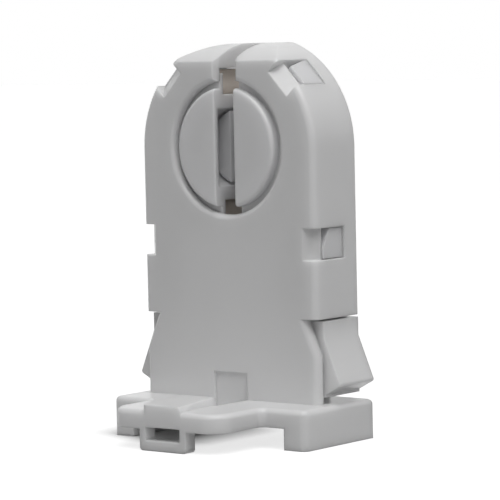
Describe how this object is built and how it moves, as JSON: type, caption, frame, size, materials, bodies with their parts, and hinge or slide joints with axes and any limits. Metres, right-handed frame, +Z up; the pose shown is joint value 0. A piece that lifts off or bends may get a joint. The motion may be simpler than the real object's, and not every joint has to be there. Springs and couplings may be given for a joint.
{
  "type": "fluorescent lamp holder",
  "caption": "Upright rotary lamp holder for a bi-pin tube lamp: round-topped white housing with a slotted rotor, side snap latches and a footed base with a pierced tab.",
  "frame": {"origin": "centre of the bounding box at the level that the feet and the tab stand on", "axes": "+Z up along the body, the rotor faces -Y, +X to the right seen from the rotor side"},
  "size_m": [0.0336, 0.0238, 0.0524],
  "materials": {
    "housing_plastic": "white moulded thermoplastic, semi-gloss",
    "cover_plastic": "white moulded thermoplastic, semi-gloss",
    "rotor_plastic": "white moulded thermoplastic, semi-gloss",
    "latch_plastic": "white moulded thermoplastic, semi-gloss",
    "contact_bronze": "phosphor bronze strip, slightly dull"
  },
  "bodies": {
    "body": {"housing": "housing_plastic", "rear_cover": "cover_plastic", "contact_left": "contact_bronze", "contact_right": "contact_bronze"},
    "rotor": {"rotor": "rotor_plastic"},
    "latch_left": {"latch_left": "latch_plastic"},
    "latch_right": {"latch_right": "latch_plastic"}
  },
  "joints": [
    {"name": "rotor_turn", "type": "hinge", "parent": "body", "child": "rotor", "pos_m": [0, 0.00636, 0.0387], "axis": [0, 1, 0], "range_deg": [-90, 90]},
    {"name": "latch_left_press", "type": "hinge", "parent": "body", "child": "latch_left", "pos_m": [-0.0114, 0.00636, 0.0154], "axis": [0, -1, 0], "range_deg": [0, 17], "stiffness_Nm_per_rad": 0.05},
    {"name": "latch_right_press", "type": "hinge", "parent": "body", "child": "latch_right", "pos_m": [0.0114, 0.00636, 0.0154], "axis": [0, 1, 0], "range_deg": [0, 17], "stiffness_Nm_per_rad": 0.05}
  ]
}
